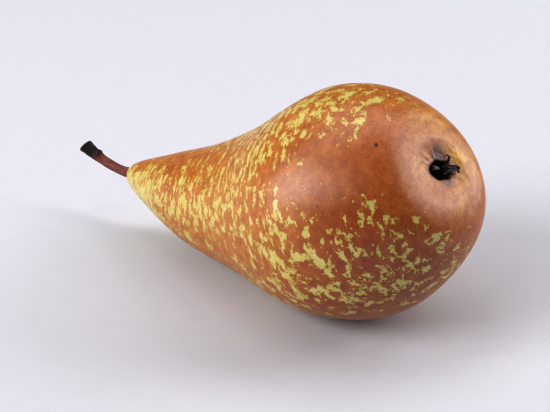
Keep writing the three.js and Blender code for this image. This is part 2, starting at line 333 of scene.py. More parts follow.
# the flesh folds where the neck closes round the stem, more on its underside
END = line_s[-1]
fold_at = FOLD_FROM_END + 0.5 * np.cos(A - 1.6)
fold = np.exp(-(((END - S) - fold_at) ** 2) / (2 * 0.32**2)) * smoothstep(0.2, 0.9, 0.5 + 0.5 * np.cos(A - 1.7))
height -= 0.42 * fold
height += 0.05 * fractal(straight / 1.2, 29, 2) * smoothstep(END - 9, END - 4, S)
P = P + normal * height[..., None]
P = place(P)
z = P[..., 2]
P[..., 2] = 0.5 * (z + np.sqrt(z**2 + 0.12**2))  # pressed flat where it rests

verts = P.reshape(-1, 3)
faces = grid_faces(NU, NT).tolist()
first, last = P[0].mean(0), P[-1].mean(0)
verts = np.vstack([verts[NT:-NT], first, last])
faces = [[v - NT for v in f] for f in faces if NT <= min(f) and max(f) < (NU - 1) * NT]
n_ring = (NU - 2) * NT
for j in range(NT):
    k = (j + 1) % NT
    faces.append([n_ring, k, j])
    faces.append([n_ring + 1, n_ring - NT + j, n_ring - NT + k])
body = make_object("pear_skin", verts, faces)
inner = lambda g: np.concatenate([g[1:-1].reshape((-1,) + g.shape[2:]), g[:1, :1].reshape((-1,) + g.shape[2:]), g[-1:, :1].reshape((-1,) + g.shape[2:])])

# Lengths along the skin are stretched for the flecks, so that they run round the pear, more so on the neck.
stretch = np.interp(rings, [0, 25, 60, 85, 130, 150], [1.1, 1.2, 1.5, 2.1, 2.4, 2.4])
along_s = np.concatenate([[0], np.cumsum(0.5 * (stretch[1:] + stretch[:-1]) * np.diff(rings))])
pear_co = np.stack([R * np.cos(A), R * np.sin(A), np.repeat(along_s[:, None], NT, 1)], -1)
add_vector(body, "pear_co", inner(pear_co))
add_vector(body, "true_co", inner(straight))
add_vector(body, "ray_co", inner(np.stack([6 * np.cos(A), 6 * np.sin(A), 0.22 * S], -1)))
add_float(body, "skin_s", inner(S))

# Where the pale ground colour shows through the russet:
# length along the skin and angle of the middle, reach along and round in mm, amount.
PATCHES = [
    (32, -0.12, 10, 13, 0.85),
    (44, 0.30, 12, 15, 0.95),
    (57, 0.50, 12, 12, 0.95),
    (27, 0.50, 7, 9, 0.55),
    (20, -0.35, 6, 9, 0.45),
    (22, 1.85, 7, 14, 0.6),
    (32, 2.30, 12, 13, 0.62),
    (26, 2.85, 9, 12, 0.62),
    (42, 1.60, 11, 10, 0.75),
    (58, 1.50, 11, 9, 0.8),
    (48, 1.10, 7, 7, 0.5),
    (72, 0.95, 10, 15, 0.75),
    (88, 1.15, 11, 15, 0.8),
    (104, 1.25, 11, 13, 0.85),
    (123, 1.60, 9, 13, 1.05),
    (135, 1.80, 9, 7, 1.2),
    (46, 2.10, 10, 14, 0.5),
    (66, 1.10, 10, 10, 0.4),
    (84, -0.35, 16, 7, 0.5),
    (60, 1.90, 12, 9, 0.5),
    (52, 0.10, 16, 10, 0.6),
    (62, 0.70, 12, 10, 0.4),
    (14, 2.40, 6, 12, 0.45),
    (36, 1.90, 14, 14, 0.2),
    (76, 0.10, 12, 8, 0.7),
    (96, 0.05, 14, 6, 0.75),
    (68, 2.30, 14, 13, 0.9),
    (95, 3.00, 22, 12, 1.05),
    (40, -2.40, 18, 22, 0.85),
    (95, -2.10, 20, 10, 0.9),
    (120, -2.60, 12, 9, 1.5),
    (66, -1.50, 12, 10, 0.6),
    (28, -1.50, 7, 10, 0.4),
    (58, -0.60, 10, 8, 0.45),
]


def spread(s, a, r, rows):
    d = np.zeros_like(s)
    for s0, a0, ls, lr, w in rows:
        d += w * np.exp(-(((s - s0) / ls) ** 2) - ((wrap(a - a0) * r / lr) ** 2))
    return d


amount = spread(S, A, R, PATCHES)
amount = (1.10 + 0.16 * smoothstep(62, 82, S)) * np.tanh(1.3 * amount) + 0.32 * smoothstep(106, 120, S) * np.clip(amount, 0, 1)
add_float(body, "fleck", inner(amount))
# golden skin by the eye, and dark stains on its lip
GOLD = [(5.0, -1.40, 3.2, 3.6, 1.0), (9.0, -1.75, 4.5, 4.0, 0.7), (4.0, 0.9, 3.5, 3.5, 0.5), (13, -0.55, 6, 8, 0.5), (6, -2.7, 4, 6, 0.5)]
STAIN = [(1.3, -0.45, 2.3, 2.8, 2.0), (1.1, 3.05, 1.3, 1.9, 1.0), (5.6, -2.15, 0.6, 0.6, 0.75), (0.3, 1.2, 0.5, 3.0, 0.5), (0.3, -1.9, 0.6, 3.0, 0.5)]
SPOTS = [(17.2, 0.70, 0.62, 0.75, 1.0), (35.2, 1.30, 0.45, 0.5, 0.7), (21.8, 1.46, 0.45, 0.5, 0.7), (16.0, 0.62, 0.35, 0.35, 0.6)]
# painted shade: these patches darken the skin on the lower belly and its side turned away from the lights
BELLY_SHADE_PAINT = [(30, 1.35, 15, 20, 0.5), (46, 2.1, 20, 20, 0.95), (26, 2.6, 14, 18, 0.9), (40, 0.75, 12, 12, 0.15)]
RED = [(20, 1.3, 16, 22, 1.0), (34, 1.9, 12, 16, 0.5), (14, 0.3, 8, 10, 0.5), (18, -2.6, 14, 20, 0.8)]
add_float(body, "red", inner(spread(S, A, R, RED)))
# painted shade on the lower belly
add_float(body, "belly_shade_paint", inner(np.clip(spread(S, A, R, BELLY_SHADE_PAINT), 0, 1)))
add_float(body, "gold", inner(spread(S, A, R, GOLD)))
add_float(body, "stain", inner(spread(S, A, R, STAIN)))
# the eye's inside: its own dark dried tissue, with painted shade of the hollow on top
add_float(body, "eye_dark_and_shade", inner(smoothstep(0.75, -0.7, S)))
# painted shade in the fold round the stem's seat
add_float(body, "fold_shade_paint", inner(fold))
add_float(body, "tip", inner(smoothstep(END - 16, END - 8, S)))

# =====================================================================================
# camera, floor and lights
# =====================================================================================
cam_data = bpy.data.cameras.new("camera")
cam_data.sensor_fit = "HORIZONTAL"
cam_data.sensor_width = 36.0
cam_data.lens = 18.0 / math.tan(math.radians(11.0))
cam_data.clip_start, cam_data.clip_end = 0.01, 20.0
cam = bpy.data.objects.new("camera", cam_data)
scene.collection.objects.link(cam)
scene.camera = cam
CAM_EL, CAM_AZ, CAM_D = math.radians(28.0), math.radians(36.0), 414.95 * MM
target = (np.array([-28.1272, 0.0, 24.1378]) - FOOTPRINT) * MM
back = np.array([math.sin(CAM_AZ) * math.cos(CAM_EL), -math.cos(CAM_AZ) * math.cos(CAM_EL), math.sin(CAM_EL)])
from mathutils import Vector

cam.location = Vector(target + back * CAM_D)
cam.rotation_euler = Vector(-back).to_track_quat("-Z", "Y").to_euler()

floor_mesh = bpy.data.meshes.new("floor")
FS = 1.0
floor_mesh.from_pydata([(-FS, -FS, 0), (FS, -FS, 0), (FS, FS, 0), (-FS, FS, 0)], [], [(0, 1, 2, 3)])
floor = bpy.data.objects.new("floor", floor_mesh)
scene.collection.objects.link(floor)


# soft boxes round the pear: azimuth, elevation, watts, size
LIGHTS = [
    (240, 30, 11.4, 0.75),
    (222, 10, 5.6, 0.55),
    (222, 62, 1.8, 0.55),
    (268, 42, 3.0, 0.55),
    (40, 30, 6.2, 0.55),
    (90, 62, 2.6, 0.55),
    (135, 62, 1.6, 0.55),
    (180, 76, 2.6, 0.55),
    (80, 30, 2.0, 0.55),
    (52, 52, 3.2, 0.55),
    (60, 8, 4.2, 0.55),
    (160, 30, 0.8, 0.55),
]
WORLD = 0.06


def area_light(name, azimuth, elevation, distance, size, power, color=(1, 1, 1), aim=(0, 0, 0.03)):
    """A soft box at an azimuth (0 is +X, 90 is +Y) and elevation round the pear, aimed at it."""
    data = bpy.data.lights.new(name, "AREA")
    data.shape = "DISK"
    data.size = size
    data.energy = power
    data.color = color
    o = bpy.data.objects.new(name, data)
    a, e = math.radians(azimuth), math.radians(elevation)
    d = Vector((math.cos(a) * math.cos(e), math.sin(a) * math.cos(e), math.sin(e)))
    o.location = Vector(aim) + d * distance
    o.rotation_euler = (-d).to_track_quat("-Z", "Y").to_euler()
    scene.collection.objects.link(o)
    return o


world = bpy.data.worlds.new("world")
scene.world = world
world.use_nodes = True
world.node_tree.nodes["Background"].inputs["Color"].default_value = (0.86, 0.88, 1.0, 1)
world.node_tree.nodes["Background"].inputs["Strength"].default_value = WORLD
# the empty studio behind the floor is seen as pale as the floor's far edge, but lights the pear only softly
wall = world.node_tree.nodes.new("ShaderNodeBackground")
wall.inputs["Color"].default_value = (0.86, 0.85, 0.9, 1)
wall.inputs["Strength"].default_value = 0.75
seen = world.node_tree.nodes.new("ShaderNodeLightPath")
blend = world.node_tree.nodes.new("ShaderNodeMixShader")
world.node_tree.links.new(seen.outputs["Is Camera Ray"], blend.inputs[0])
world.node_tree.links.new(world.node_tree.nodes["Background"].outputs[0], blend.inputs[1])
world.node_tree.links.new(wall.outputs[0], blend.inputs[2])
world.node_tree.links.new(blend.outputs[0], world.node_tree.nodes["World Output"].inputs["Surface"])
for k, (azimuth, elevation, watts, size) in enumerate(LIGHTS):
    area_light("soft_%d" % k, azimuth, elevation, 1.3, size, watts)
scene.view_settings.view_transform = "Standard"
scene.view_settings.gamma = 0.75

# =====================================================================================
# materials
# =====================================================================================


def srgb(r, g, b):
    def lin(c):
        c /= 255.0
        return c / 12.92 if c <= 0.04045 else ((c + 0.055) / 1.055) ** 2.4

    return (lin(r), lin(g), lin(b), 1.0)


class Nodes:
    """Short names for building a node tree."""

    def __init__(self, name):
        self.mat = bpy.data.materials.new(name)
        self.mat.use_nodes = True
        self.tree = self.mat.node_tree
        self.bsdf = self.tree.nodes["Principled BSDF"]
        self.out = self.tree.nodes["Material Output"]

    def new(self, kind, **values):
        n = self.tree.nodes.new(kind)
        for k, v in values.items():
            setattr(n, k, v)
        return n

    def link(self, a, b):
        self.tree.links.new(a, b)
        return b

    def put(self, socket, value):
        if hasattr(value, "default_value") or hasattr(value, "is_linked"):
            self.tree.links.new(value, socket)
        else:
            socket.default_value = value

    def math(self, op, a, b=None, c=None, clamp=False):
        n = self.new("ShaderNodeMath", operation=op, use_clamp=clamp)
        for k, v in enumerate((a, b, c)):
            if v is not None:
                self.put(n.inputs[k], v)
        return n.outputs[0]

    def ramp(self, x, a, b, to0=0.0, to1=1.0, smooth=True):
        n = self.new("ShaderNodeMapRange", interpolation_type="SMOOTHSTEP" if smooth else "LINEAR")
        for k, v in zip(range(5), (x, a, b, to0, to1)):
            self.put(n.inputs[k], v)
        return n.outputs[0]

    def mix(self, fac, a, b, blend="MIX"):
        n = self.new("ShaderNodeMix", data_type="RGBA", blend_type=blend)
        self.put(n.inputs[0], fac)
        self.put(n.inputs[6], a)
        self.put(n.inputs[7], b)
        return n.outputs[2]

    def attr(self, name, vector=False):
        n = self.new("ShaderNodeAttribute", attribute_type="GEOMETRY", attribute_name=name)
        return n.outputs["Vector"] if vector else n.outputs["Fac"]

    def scale(self, vec, by):
        n = self.new("ShaderNodeVectorMath", operation="MULTIPLY")
        self.link(vec, n.inputs[0])
        n.inputs[1].default_value = by if hasattr(by, "__len__") else (by, by, by)
        return n.outputs[0]

    def noise(self, vec, scale, detail=2.0, rough=0.5, distortion=0.0, color=False):
        n = self.new("ShaderNodeTexNoise")
        self.link(vec, n.inputs["Vector"])
        n.inputs["Scale"].default_value = scale
        n.inputs["Detail"].default_value = detail
        n.inputs["Roughness"].default_value = rough
        n.inputs["Distortion"].default_value = distortion
        return n.outputs["Color"] if color else n.outputs["Fac"]

    def voronoi(self, vec, scale, feature="F1", randomness=1.0):
        n = self.new("ShaderNodeTexVoronoi", feature=feature)
        self.link(vec, n.inputs["Vector"])
        n.inputs["Scale"].default_value = scale
        n.inputs["Randomness"].default_value = randomness
        return n


def skin_material():
    m = Nodes("russet_skin")
    co = m.attr("pear_co", vector=True)
    true = m.attr("true_co", vector=True)
    amount = m.attr("fleck")
    s = m.attr("skin_s")

    def shifted(vec, scale, by, detail=2.0):
        wob = m.noise(vec, scale, detail, 0.6, color=True)
        n = m.new("ShaderNodeVectorMath", operation="MULTIPLY_ADD")
        m.link(wob, n.inputs[0])
        n.inputs[1].default_value = (by, by, by)
        m.link(vec, n.inputs[2])
        return n.outputs[0]

    # ragged flecks: layered noise over a threshold that falls where there are more of them
    ragged = shifted(co, 0.75, 2.2)
    n1 = m.noise(ragged, 0.32, 2.5, 0.58)
    n2 = m.noise(co, 1.15, 1.5, 0.55)
    field = m.math("ADD", n1, m.math("MULTIPLY", m.math("SUBTRACT", n2, 0.5), 0.30))
    # some flecks ring a lenticel
    lent = m.voronoi(shifted(true, 0.9, 0.5), 0.19)
    lent_d = m.math("DIVIDE", lent.outputs["Distance"], 0.19)
    pick = m.new("ShaderNodeSeparateColor")
    m.link(lent.outputs["Color"], pick.inputs[0])
    chosen = m.math("GREATER_THAN", pick.outputs[0], 0.42)
    around = m.math("MULTIPLY", m.ramp(lent_d, 1.7, 0.7), m.math("MULTIPLY", chosen, m.ramp(amount, 0.2, 0.75)))
    field = m.math("ADD", field, m.math("MULTIPLY", around, 0.16))
    threshold = m.math("SUBTRACT", 0.77, m.math("MULTIPLY", amount, 0.25))
    over = m.math("SUBTRACT", field, threshold)
    fleck = m.ramp(over, -0.014, 0.022)
    heart = m.ramp(over, 0.0, 0.09)
    dot = m.math("MULTIPLY", m.ramp(lent_d, 0.62, 0.34), m.math("MULTIPLY", chosen, m.ramp(pick.outputs[1], 0.15, 0.35)))

    # russet: reddish brown to golden, with fine grain
    big = m.noise(true, 0.055, 2.0, 0.5)
    mid = m.noise(true, 0.33, 3.0, 0.6)
    grain = m.noise(true, 2.1, 3.0, 0.65)
    dust = m.noise(true, 5.5, 2.0, 0.6)
    russet = m.mix(m.ramp(big, 0.36, 0.64), srgb(180, 106, 32), srgb(192, 126, 40))
    russet = m.mix(m.math("MULTIPLY", m.attr("red"), m.ramp(mid, 0.2, 0.8, 0.7, 1.0), clamp=True), russet, srgb(176, 84, 26))
    russet = m.mix(m.ramp(mid, 0.32, 0.7), m.mix(0.38, russet, srgb(136, 56, 20)), m.mix(0.28, russet, srgb(216, 146, 70)))
    russet = m.mix(m.ramp(grain, 0.28, 0.72), m.mix(0.28, russet, srgb(112, 50, 26)), m.mix(0.16, russet, srgb(230, 172, 108)))
    # painted shade: darker brown on the lower belly, where the patches above lie
    russet = m.mix(m.math("MULTIPLY", m.attr("belly_shade_paint"), m.ramp(mid, 0.2, 0.8, 0.85, 0.5)), russet, srgb(136, 54, 6))
    ground = m.mix(m.ramp(mid, 0.3, 0.7), srgb(198, 184, 96), srgb(212, 200, 136))
    ground = m.mix(m.ramp(grain, 0.3, 0.75), m.mix(0.3, ground, srgb(180, 158, 78)), ground)
    edge = m.mix(heart, srgb(186, 160, 74), ground)

    # golden skin and streaks that run out from the eye
    ray = m.attr("ray_co", vector=True)
    streak = m.noise(ray, 1.9, 3.0, 0.6)
    near = m.ramp(s, 15.0, 3.0)
    russet = m.mix(m.math("MULTIPLY", near, m.ramp(streak, 0.50, 0.66, 0.0, 0.30)), russet, srgb(214, 152, 66))
    russet = m.mix(m.math("MULTIPLY", near, m.ramp(streak, 0.46, 0.34, 0.0, 0.4)), russet, srgb(146, 72, 30))
    gold = m.math("MULTIPLY", m.attr("gold"), m.ramp(m.math("ADD", mid, m.math("MULTIPLY", grain, 0.5)), 0.55, 0.95))
    russet = m.mix(m.math("MULTIPLY", gold, 0.9, clamp=True), russet, srgb(230, 182, 78))

    color = m.mix(fleck, russet, edge)
    color = m.mix(m.math("MULTIPLY", dot, 0.75), color, srgb(140, 84, 34))

    # fine dark dots, most of them towards the eye
    pits = m.voronoi(true, 0.72)
    pick2 = m.new("ShaderNodeSeparateColor")
    m.link(pits.outputs["Color"], pick2.inputs[0])
    size = m.math("MULTIPLY_ADD", pick2.outputs[1], 0.13, 0.02)
    pit = m.math("MULTIPLY", m.ramp(m.math("SUBTRACT", pits.outputs["Distance"], size), 0.05, -0.03), m.math("GREATER_THAN", pick2.outputs[0], 0.35))
    pit = m.math("MULTIPLY", pit, m.ramp(s, 36.0, 14.0, 0.25, 0.95))
    color = m.mix(pit, color, srgb(92, 44, 30))
    color = m.mix(m.ramp(dust, 0.62, 0.75, 0.0, 0.25), color, srgb(120, 66, 40))

    # single dark specks
    for s0, a0, ls, _, w in SPOTS:
        r0 = float(np.interp(s0, rings, ring_r))
        gap = m.new("ShaderNodeVectorMath", operation="DISTANCE")
        m.link(shifted(true, 1.6, 0.5), gap.inputs[0])
        gap.inputs[1].default_value = (r0 * math.cos(a0) + 0.25, r0 * math.sin(a0) + 0.25, s0 + 0.25)
        color = m.mix(m.ramp(gap.outputs["Value"], ls * 1.5, ls * 0.6, 0.0, 0.92 * w), color, srgb(84, 28, 18))

    # stains on the lip, painted shade in the fold under the stem, and the eye's inside painted near black, partly its
    # own dried tissue and partly painted shade of the hollow
    stain = m.math("MULTIPLY", m.attr("stain"), m.ramp(m.noise(true, 1.1, 3.0, 0.6), 0.3, 0.62, 0.35, 1.2), clamp=True)
    color = m.mix(stain, color, m.mix(m.ramp(grain, 0.35, 0.65), srgb(58, 16, 10), srgb(112, 42, 22)))
    # painted shade: the fold under the stem darkened
    color = m.mix(m.math("MULTIPLY", m.attr("fold_shade_paint"), 0.85, clamp=True), color, srgb(112, 62, 48))
    # near black inside the eye: partly its own dried tissue, partly painted shade of the hollow
    eye_dark_and_shade = m.attr("eye_dark_and_shade")
    color = m.mix(eye_dark_and_shade, color, m.mix(m.ramp(grain, 0.4, 0.7), srgb(9, 5, 4), srgb(30, 15, 11)))
    m.link(color, m.bsdf.inputs["Base Color"])

    rough = m.math("ADD", m.math("SUBTRACT", m.ramp(grain, 0.2, 0.8, 0.42, 0.33), m.math("MULTIPLY", fleck, 0.05)), m.math("MULTIPLY", eye_dark_and_shade, 0.35))
    m.link(rough, m.bsdf.inputs["Roughness"])
    m.bsdf.inputs["IOR"].default_value = 1.45
    m.bsdf.inputs["Specular IOR Level"].default_value = 0.8
    relief = m.math("ADD", m.math("MULTIPLY", grain, 0.6), m.math("MULTIPLY", dust, 0.35))
    relief = m.math("SUBTRACT", relief, m.math("MULTIPLY", fleck, 0.25))
    relief = m.math("SUBTRACT", relief, m.math("MULTIPLY", pit, 0.5))
    bump = m.new("ShaderNodeBump")
    bump.inputs["Strength"].default_value = 0.5
    bump.inputs["Distance"].default_value = 0.00008
    m.link(relief, bump.inputs["Height"])
    m.link(bump.outputs[0], m.bsdf.inputs["Normal"])
    return m.mat


def bark_material():
    """Stem: reddish brown bark that turns near black towards the cut end, with pale torn fibres on the cut."""
    m = Nodes("stem_bark")
    co = m.attr("bark_co", vector=True)
    fibre = m.noise(co, 1.0, 4.0, 0.62)
    fine = m.noise(co, 3.2, 3.0, 0.6)
    spots = m.noise(m.attr("bark_mm", vector=True), 0.9, 3.0, 0.6)
    color = m.mix(m.ramp(fibre, 0.3, 0.7), srgb(98, 54, 46), srgb(142, 88, 76))
    color = m.mix(m.ramp(fine, 0.35, 0.75, 0.0, 0.4), color, srgb(78, 38, 34))
    color = m.mix(m.ramp(spots, 0.58, 0.72, 0.0, 0.5), color, srgb(64, 34, 34))
    dark = m.attr("burnt")
    patchy = m.ramp(m.math("ADD", dark, m.math("MULTIPLY", m.math("SUBTRACT", spots, 0.5), 0.7)), 0.25, 0.75)
    color = m.mix(m.ramp(dark, 0.02, 0.5, 0.0, 0.75), color, srgb(84, 32, 24))
    color = m.mix(patchy, color, m.mix(m.ramp(fibre, 0.4, 0.75), srgb(22, 9, 10), srgb(50, 26, 26)))
    color = m.mix(m.math("MULTIPLY", m.attr("torn"), m.ramp(fine, 0.3, 0.6, 0.4, 1.0), clamp=True), color, srgb(168, 128, 84))
    m.link(color, m.bsdf.inputs["Base Color"])
    m.link(m.ramp(fibre, 0.2, 0.8, 0.78, 0.6), m.bsdf.inputs["Roughness"])
    m.bsdf.inputs["Specular IOR Level"].default_value = 0.3
    bump = m.new("ShaderNodeBump")
    bump.inputs["Strength"].default_value = 0.6
    bump.inputs["Distance"].default_value = 0.00012
    m.link(m.math("ADD", fibre, m.math("MULTIPLY", fine, 0.4)), bump.inputs["Height"])
    m.link(bump.outputs[0], m.bsdf.inputs["Normal"])
    return m.mat


def calyx_material(name, dark, pale, share, rough=0.55):
    """Dried calyx: near black with greyish papery ridges; the share of grey is set per copy, more where light falls and
    less in shade, so part of it is painted light.
    """
    m = Nodes(name)
    co = m.attr("leaf_co", vector=True)
    vein = m.noise(co, 1.0, 3.0, 0.6)
    fine = m.noise(co, 4.0, 3.0, 0.65)
    color = m.mix(m.ramp(m.math("ADD", vein, m.math("MULTIPLY", m.math("SUBTRACT", fine, 0.5), 0.5)), 0.62 - share * 0.3, 0.8 - share * 0.3), dark, pale)
    color = m.mix(m.ramp(fine, 0.55, 0.75, 0.0, 0.5), color, tuple(0.5 * v for v in dark[:3]) + (1,))
    m.link(color, m.bsdf.inputs["Base Color"])
    m.link(m.ramp(fine, 0.2, 0.8, rough + 0.12, rough - 0.1), m.bsdf.inputs["Roughness"])
    m.bsdf.inputs["Specular IOR Level"].default_value = 0.35
    bump = m.new("ShaderNodeBump")
    bump.inputs["Strength"].default_value = 0.6
    bump.inputs["Distance"].default_value = 0.0001
    m.link(m.math("ADD", vein, m.math("MULTIPLY", fine, 0.5)), bump.inputs["Height"])
    m.link(bump.outputs[0], m.bsdf.inputs["Normal"])
    return m.mat


def paper_material():
    m = Nodes("paper")
    tc = m.new("ShaderNodeTexCoord")
    grain = m.noise(tc.outputs["Object"], 1400.0, 3.0, 0.6)
    cloud = m.noise(tc.outputs["Object"], 160.0, 3.0, 0.6)
    color = m.mix(m.ramp(cloud, 0.3, 0.7), (0.602, 0.598, 0.638, 1), (0.610, 0.606, 0.646, 1))
    color = m.mix(m.ramp(grain, 0.3, 0.7), m.mix(0.05, color, (0.6, 0.58, 0.66, 1)), color)
    m.link(color, m.bsdf.inputs["Base Color"])
    m.bsdf.inputs["Roughness"].default_value = 0.95
    m.bsdf.inputs["Specular IOR Level"].default_value = 0.1
    bump = m.new("ShaderNodeBump")
    bump.inputs["Strength"].default_value = 0.2
    bump.inputs["Distance"].default_value = 0.0001
    m.link(grain, bump.inputs["Height"])
    m.link(bump.outputs[0], m.bsdf.inputs["Normal"])
    return m.mat


body.data.materials.append(skin_material())
floor.data.materials.append(paper_material())

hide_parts("pear_body")
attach(body, "root")

# =====================================================================================
# stem
# =====================================================================================
STEM_PATH = [
    (-86.05, 2.15, 17.02),
    (-88.4, 2.15, 16.72),
    (-93.1, 2.15, 17.1),
    (-98.0, 2.15, 18.25),
    (-102.2, 2.15, 19.75),
    (-105.6, 2.15, 21.25),
]
STEM_RADII = [(0, 1.5), (0.08, 1.58), (0.3, 1.5), (0.55, 1.52), (0.75, 1.72), (0.9, 2.0), (1, 2.2)]
KNOB_AT, KNOB_HEIGHT, KNOB_REACH = 0.7, 0.75, 1.0
STEM_CUT = math.radians(13)


def build_stem():
    nu, nt = 190, 104
    path = smooth_path(np.array(STEM_PATH) - FOOTPRINT, nu)
    tangent = np.gradient(path, axis=0)
    tangent /= np.linalg.norm(tangent, axis=1, keepdims=True)
    side = np.array([0, 1.0, 0])
    up = np.cross(tangent, side)
    up /= np.linalg.norm(up, axis=1, keepdims=True)
    up *= np.sign(up[:, 2:3])
    t = np.linspace(0, 1, nu)
    length = np.linalg.norm(np.diff(path, axis=0), axis=1).sum()
    a = np.linspace(-np.pi, np.pi, nt, endpoint=False)
    T, A = np.meshgrid(t, a, indexing="ij")
    rt, rr = np.array(STEM_RADII).T
    k = np.clip(np.searchsorted(rt, T, side="right") - 1, 0, len(rt) - 2)
    f = np.clip((T - rt[k]) / (rt[k + 1] - rt[k]), 0, 1)
    r = rr[k] + (rr[k + 1] - rr[k]) * f * f * (3 - 2 * f)
    mm = np.stack([r * np.cos(A), r * np.sin(A), T * length], -1)
    twist = A + 0.5 * T
    # the bark's long ridges and furrows, and small lumps
    r = r * (1 + 0.022 * np.cos(3 * twist + 0.4) + 0.016 * np.cos(7 * twist + 1.0 + 0.8 * T) + 0.012 * np.cos(13 * twist))
    r += 0.05 * fractal(mm / np.array([1.1, 1.1, 3.2]), 41, 3) + 0.03 * fractal(mm / 0.7, 47, 2)
    # bud scar: steep on the side that faces the pear, soft on the other
    d = (T - KNOB_AT) * length
    bump = np.where(d > 0, np.exp(-(d**2) / (2 * 1.0**2)), np.exp(-(d**2) / (2 * 0.35**2)))
    r += KNOB_HEIGHT * bump * np.exp(-(A**2) / (2 * 0.5**2))
    # a slight collar where it leaves the flesh
    r += 0.16 * np.exp(-(((T * length) - 1.9) ** 2) / (2 * 0.5**2)) * (0.6 + 0.4 * np.cos(2 * A + 1))
    r += 0.10 * smoothstep(0.93, 0.99, T) * (0.5 + 0.5 * np.cos(5 * A + 0.7))
    pos = path[:, None] + r[..., None] * (np.cos(A)[..., None] * up[:, None] + np.sin(A)[..., None] * side)
    lean = np.clip((T - 0.8) / 0.2, 0, 1) * math.tan(STEM_CUT)
    pos -= tangent[:, None] * (r * np.cos(A) * lean)[..., None]
    # cut face: a thin rim and a slightly sunken, fibrous middle
    rows = [pos]
    end, centre = pos[-1], path[-1]
    for q, drop in ((0.94, 0.02), (0.86, -0.10), (0.74, -0.22), (0.6, -0.28), (0.45, -0.3), (0.3, -0.3), (0.15, -0.28)):
        p = centre + (end - centre) * q
        rough = 0.10 * fractal(np.stack([p[:, 1] * 1.4, p[:, 2] * 1.4, np.full(nt, 3.0)], -1), 53, 3)
        rows.append((p + tangent[-1] * (drop + rough)[:, None])[None])
    grid = np.concatenate(rows, 0)
    n = grid.shape[0]
    verts = np.vstack([grid.reshape(-1, 3), path[0], centre - tangent[-1] * 0.27])
    faces = grid_faces(n, nt, flip=True).tolist()
    for j in range(nt):
        k2 = (j + 1) % nt
        faces.append([n * nt, j, k2])
        faces.append([n * nt + 1, (n - 1) * nt + k2, (n - 1) * nt + j])
    obj = make_object("stem_bark", verts, faces)
    full = lambda g, tail, ends: np.concatenate([g.reshape(-1), np.full(7 * nt, tail), ends])
    along_mm = T * length
    co = np.stack([1.6 * np.cos(A) * 1.6, 1.6 * np.sin(A) * 1.6, along_mm * 0.28], -1).reshape(-1, 3)
    caps = np.concatenate([(p - centre)[..., :] * 1.4 for p in grid[nu:]]) + np.array([0, 0, 7.0])
    add_vector(obj, "bark_co", np.vstack([co, caps, [[0, 0, 0]], [[0, 0, 7.0]]]))
    add_vector(obj, "bark_mm", np.vstack([mm.reshape(-1, 3), caps, [[0, 0, 0]], [[0, 0, 7.0]]]))
    burnt = smoothstep(0.52, 0.95, T + 0.05 * np.cos(A))
    add_float(obj, "burnt", full(burnt, 1.0, [0.0, 1.0]))
    torn = smoothstep(0.965, 1.0, T) * smoothstep(-0.2, -0.9, np.cos(A - 0.2)) + 0.35 * smoothstep(0.985, 1.0, T)
    face_torn = np.concatenate([0.9 * smoothstep(0.3, -0.9, np.cos(a)) * w + 0.12 for w in (1.0, 0.8, 0.5, 0.3, 0.2, 0.1, 0.1)])
    add_float(obj, "torn", np.concatenate([torn.reshape(-1), face_torn, [0.0, 0.1]]))
    return obj


stem = build_stem()
stem.data.materials.append(bark_material())

# =====================================================================================
# calyx: five dried sepals and the tuft of withered stamens
# =====================================================================================
# Each sepal: its line as distance along the core, radius and angle in degrees from base to tip,
# half widths at base, middle and tip, how strongly its edges curl, and thickness.
SEPALS = {
    "sepal_1": ([(4.2, 2.55, 30), (3.1, 2.25, 26), (2.1, 1.75, 20), (1.6, 0.95, 10), (1.75, 0.5, -60)], (0.8, 1.15, 0.35), 1.0, 0.12),
    "sepal_2": ([(4.0, 2.3, -84), (2.7, 2.45, -82), (1.2, 3.2, -78), (0.6, 4.1, -72), (0.5, 4.9, -66), (0.85, 5.3, -60)], (0.85, 0.8, 0.42), 1.5, 0.2),
    "sepal_3": ([(4.2, 2.6, -104), (2.8, 2.8, -106), (1.1, 3.6, -108), (0.2, 4.5, -112), (0.15, 5.3, -117), (0.75, 5.7, -121)], (1.25, 1.4, 0.95), 1.35, 0.26),
    "sepal_4": ([(4.5, 2.0, 178), (3.6, 2.0, 178), (2.9, 1.7, 180), (2.4, 1.1, 185)], (0.9, 0.9, 0.25), 1.0, 0.13),
    "sepal_5": ([(4.6, 2.4, 104), (3.8, 2.35, 104), (3.1, 1.95, 102), (2.6, 1.3, 98)], (0.9, 0.9, 0.25), -1.0, 0.13),
}


